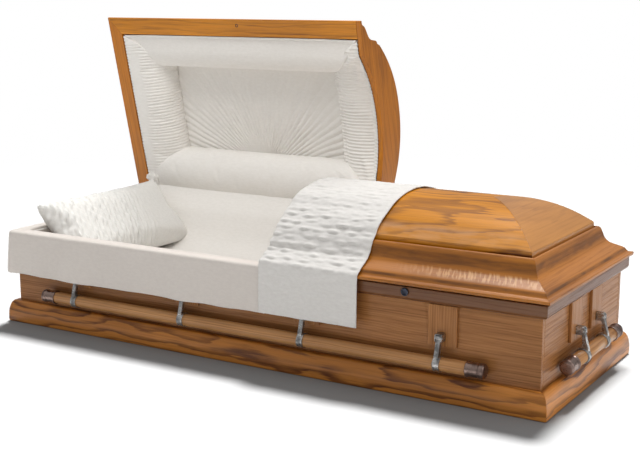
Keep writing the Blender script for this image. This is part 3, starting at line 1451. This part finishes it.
def make_pillow():
    across = np.linspace(-1, 1, 46)
    along = np.linspace(-1, 1, 84)
    b, a = np.meshgrid(along, across)
    draw_in = 1 - 0.035 * (1 - b * b), 1 - 0.02 * (1 - a * a)
    rise = np.clip((1 - a ** 4) * (1 - b ** 6), 0, 1) ** 0.6 * 0.46 * PILLOW_THICK
    flat = [a * draw_in[0] * PILLOW_WIDE / 2, b * draw_in[1] * PILLOW_LONG / 2]
    front, back = np.dstack(flat + [rise]), np.dstack(flat + [-rise])
    piece, _ = shell("pillow_filled", front, back, PILLOW_CREPE)
    stuff(piece, [], 0.014, pressure=5.0, fullness=0.04)
    points = subdivided(piece)
    normals = np.array([tuple(v.normal) for v in piece.data.vertices])
    a, b = points[:, 0] / PILLOW_WIDE * 2, points[:, 1] / PILLOW_LONG * 2
    crushed = soft_step(-b, -0.55, 0.0) * soft_step(1 - np.abs(a), 0.0, 0.3) * (normals[:, 2] > 0)
    folds = puckers(points[:, 0], points[:, 1] + 0.25 * points[:, 0], (0.042, 0.019), (0.0155, 0.0066), 4)
    gathers = np.exp(-((1 - np.abs(a)) / 0.14) ** 2) + np.exp(-((1 - np.abs(b)) / 0.09) ** 2)
    tuck = np.array([noise.noise(Vector((x * 60, y * 60, 2.0))) for x, y, _ in points])
    points += normals * (0.0092 * crushed * folds + 0.0034 * gathers * tuck)[:, None]
    place_points(piece, points @ PILLOW_TURN.T + PILLOW_MIDDLE)
    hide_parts("pillow")
    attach(piece, "root")
    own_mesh(piece)
    print(f"pillow: {len(piece.data.polygons)} faces")


PILLOW_CREPE = crepe_finish("pillow_crepe", (0.76, 0.745, 0.71, 1), (0.68, 0.665, 0.63, 1), 0.10)
make_pillow()

# %% [markdown]
# ## Apron
# The apron is the lining's flap. It comes up inside the rim, lies over it, turns down with a soft round
# edge and hangs outside the handles' ears, along the front and round the head end. One cross-section is
# swept round that path, and what makes it cloth is unevenness: shallow upright folds that grow towards
# the hem.

# %% Apron
APRON_END, APRON_HEM = 0.099, 0.191
OUTER_X, OUTER_Y = 1.0525, 0.3845
EAR_CLEARANCE = 0.0185


def apron_path(spacing=0.005):
    """Plan points of the rim's outer face with a rounded corner, and the outward direction at each."""
    radius = 0.016
    corner = arc((-OUTER_X + radius, -OUTER_Y + radius), radius, -90, -180, 8)
    path = evenly_spaced(np.array([(APRON_END, -OUTER_Y)] + corner + [(-OUTER_X, 0.329)]), spacing)
    return path, left_of(path)


def make_apron():
    path, out = apron_path()
    over_rim = [(-0.0585, 0.318), (-0.0575, 0.334), (-0.051, 0.3436), (-0.030, 0.3442), (-0.006, 0.3452)]
    down_side = [(0.0045, 0.3430), (0.0085, 0.334), (0.0105, 0.300), (0.0125, 0.250), (0.014, APRON_HEM)]
    profile = smooth_line(over_rim + down_side, 64)
    points = np.zeros((len(profile), len(path), 3))
    points[..., 2] = profile[:, 1:2]
    hang = soft_step(RIM_TOP - profile[:, 1:2], 0.005, 0.145) * (profile[:, 0:1] > 0)
    at_ear = np.zeros(len(path))
    for name in named("handle_ear_front", "handle_ear_head"):
        low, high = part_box(name)
        away = np.linalg.norm(path - np.array((low + high)[:2]) / 2, axis=1)
        at_ear = np.maximum(at_ear, np.exp(-(away / 0.075) ** 2))
    flat = points.copy()
    flat[..., :2] = path
    folds = 0.0035 * uneven(flat, (11, 11, 2), 2) + 0.0012 * uneven(flat, (45, 45, 5), 8)
    push = profile[:, 0:1] + hang * (folds + EAR_CLEARANCE * at_ear[None, :] * 0.8 + 0.004)
    over = (profile[:, 0:1] <= 0) & (profile[:, 1:2] > RIM_TOP)
    points[..., 0] = path[:, 0] + out[:, 0] * push
    points[..., 1] = path[:, 1] + out[:, 1] * push
    inside_head = (profile[:, 0:1] < -0.02) & (points[..., 1] < 0.3)
    wall_x = -INSIDE_X - 0.001
    points[..., 0] = np.where(inside_head, np.maximum(points[..., 0], wall_x), points[..., 0])
    points[..., 2] += 0.0010 * np.abs(uneven(flat, (30, 30, 8), 5)) * over
    points[-1, :, 2] += 0.003 * uneven(flat, (9, 9, 0), 11)[-1]
    apron = cloth_piece("apron_draped", points[::-1], APRON_CREPE)
    thicken(apron, 0.0012, 0)
    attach(apron, "root")
    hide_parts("apron")
    print(f"apron: {len(apron.data.polygons)} faces")


make_apron()

# %% [markdown]
# ## Throw
# The throw is a runner of puckered cloth over the foot lid. Its two sides don't lie the same: on the
# right it spans from the crown's edge to the lip, and on the left it sags nearer the mouldings. Two side
# lines in the lid's measures carry it, and the rest is blended between them. The puckers are staggered
# lenses.

# %% Throw
THROW_LEFT_X, THROW_RIGHT_X, THROW_HEM = 0.078, 0.442, 0.194
THROW_LEFT = [(0.000, 0.018), (0.018, 0.029), (0.048, 0.031), (0.066, 0.071), (0.096, 0.103), (0.138, 0.139),
              (0.175, 0.164), (0.213, 0.196), (0.251, 0.211), (0.315, 0.223), (0.396, 0.2325)]
THROW_RIGHT = [(0.000, 0.018), (0.018, 0.030), (0.054, 0.048), (0.104, 0.109), (0.123, 0.138),
               (0.150, 0.160), (0.182, 0.177), (0.242, 0.206), (0.298, 0.221), (0.340, 0.2285),
               (0.396, 0.2325)]
MOULDING_TOP = [(-0.003, 0.010), (0.033, 0.0335), (0.068, 0.051), (0.084, 0.080), (0.093, 0.099),
                (0.117, 0.120)]


def lid_top(u):
    """Height of the foot lid's mouldings and crown at u."""
    crown = 0.120 + 0.105 * np.clip(1 - (np.abs(LID_MIDDLE - u) / 0.279) ** 2.2, 0, 1)
    return np.where(u < 0.117, np.interp(u, *zip(*MOULDING_TOP)), crown)


def throw_side(measured):
    """(y, z) points from the front hem, up the hang, over the crown and down its back."""
    u, h = smooth_line(measured, 90).T
    h = np.maximum(h, lid_top(u) + 0.0065)
    front = list(zip(u + LID_FRONT, h + LID_BOTTOM))
    hang = [(-0.4075, THROW_HEM), (-0.4068, 0.24), (-0.4060, 0.29), (-0.4055, 0.335), (-0.4030, 0.357)]
    back = [(-y, z) for y, z in front[-2::-1] if z > 0.458]
    return smooth_line(hang + front + back, 250)


def make_throw():
    left, right = throw_side(THROW_LEFT), throw_side(THROW_RIGHT)
    count = 116
    share = np.linspace(0, 1, count)
    side = soft_step(share, 0.0, 1.0)
    line = left[:, None] * (1 - side)[None, :, None] + right[:, None] * side[None, :, None]
    x = THROW_LEFT_X + (THROW_RIGHT_X - THROW_LEFT_X) * share
    points = np.dstack([np.broadcast_to(x, line.shape[:2]), line[..., 0], line[..., 1]])
    down = lengths_along(right)[:, None] + 0 * points[..., 0]
    drift = uneven(points, (9, 7, 7), 2)
    pitch, size = (0.060, 0.030), (0.019, 0.0095)
    relief = puckers(points[..., 0] + 0.012 * drift, -down + 0.006 * drift, pitch, size, 7)
    lip, ridge = 0.155, 0.46
    past_lip = soft_step(down, lip - 0.04, lip + 0.05)
    before_ridge = 1 - soft_step(down, ridge - 0.16, ridge)
    strength = 0.0020 + 0.0050 * past_lip * before_ridge
    relief = relief * strength * (0.85 + 0.5 * uneven(points, (16, 12, 12), 6))
    relief += 0.0022 * uneven(points, (18, 26, 26), 9) * soft_step(down, 0.0, 0.2)
    relief += 0.0012 * uneven(points, (60, 90, 90), 4)
    relief *= 0.25 + 0.75 * soft_step(THROW_RIGHT_X - points[..., 0], 0.0, 0.04)
    points += outward(points) * relief[..., None]
    points[0, :, 2] += 0.002 * uneven(points, (20, 0, 0), 3)[0]
    throw = cloth_piece("throw_draped", points, THROW_CREPE)
    thicken(throw, 0.0035, -1)
    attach(throw, "foot_lid")
    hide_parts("throw")
    print(f"throw: {len(throw.data.polygons)} faces, {down.max():.3f} m long")


make_throw()

# %% [markdown]
# ## Small pieces
# A strike plate for the catch sits in the open lid's front rail. At the hinge corner, the spare cloth of
# the liner is bunched into a small knot: a ball of cloth pushed about by noise.

# %% Catch plate and corner knot
CATCH_X, CATCH_U = -0.435, 0.0235
KNOT_SIZE, KNOT_PLACE = (0.030, 0.015, 0.040), (-0.975, 0.375, 0.449)


def make_catch_plate():
    middle = Vector(on_open_lid(np.array([[CATCH_X, CATCH_U, 0.0]]))[0])
    place = Matrix.Translation(middle) @ OPENING.to_4x4() @ Matrix.Rotation(QUARTER, 4, "Y")
    mesh = bmesh.new()
    profile = [(-0.002, 0.0065), (0.0006, 0.0065), (0.0010, 0.0058)]
    profile += [(0.0010, 0.0042), (-0.0012, 0.0036), (-0.0014, 0.0010)]
    turned(mesh, profile, place, 32)
    plate = closed_piece("catch_plate", mesh, BLACK_STEEL)
    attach(plate, "head_lid")


def make_corner_knot():
    mesh = bmesh.new()
    bmesh.ops.create_icosphere(mesh, subdivisions=5, radius=1.0)
    for vertex in mesh.verts:
        out = vertex.co.copy()
        crease = abs(noise.noise(out * 1.9 + Vector((3, 1, 4)))) + 0.5 * abs(noise.noise(out * 4.3))
        ball = Vector((out.x * KNOT_SIZE[0], out.y * KNOT_SIZE[1], out.z * KNOT_SIZE[2]))
        vertex.co = ball * (0.72 + 0.75 * crease)
    bmesh.ops.translate(mesh, vec=KNOT_PLACE, verts=mesh.verts)
    knot = closed_piece("liner_corner_knot", mesh, IVORY_CREPE)
    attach(knot, "head_lid")


make_catch_plate()
make_corner_knot()
print("catch plate and corner knot")

# %% [markdown]
# ## What each lamp shines on
# A studio photographer flags each lamp with black cards. Light linking does the same. The floor's sun
# draws the shadow of the closed body on the floor and lights nothing else, and the lamp for the lid stays
# off the front.

# %% Flag the lamps
def lit_pieces(lamp, pieces, state):
    flags = bpy.data.collections.new(f"{lamp.name}_{state.lower()}")
    for piece in pieces:
        flags.objects.link(piece)
    for member in flags.collection_objects:
        member.light_linking.link_state = state
    return flags


def flag_lamps():
    bpy.context.view_layer.update()
    lid = [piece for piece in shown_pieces() if body_of(piece) == ["head_lid"]]
    bedding = ("hinge_flap", "wall_lining", "mattress_pad", "pillow_filled")
    inside = [bpy.data.objects[name] for name in bedding]
    main_sun.light_linking.receiver_collection = lit_pieces(main_sun, [floor], "EXCLUDE")
    floor_sun.light_linking.receiver_collection = lit_pieces(floor_sun, [floor], "INCLUDE")
    floor_sun.light_linking.blocker_collection = lit_pieces(floor_sun, lid, "EXCLUDE")
    lid_lamp.light_linking.receiver_collection = lit_pieces(lid_lamp, lid + inside, "INCLUDE")
    print(len(lid), "pieces on the lid and", len(inside), "inside take the lid's lamp")


flag_lamps()
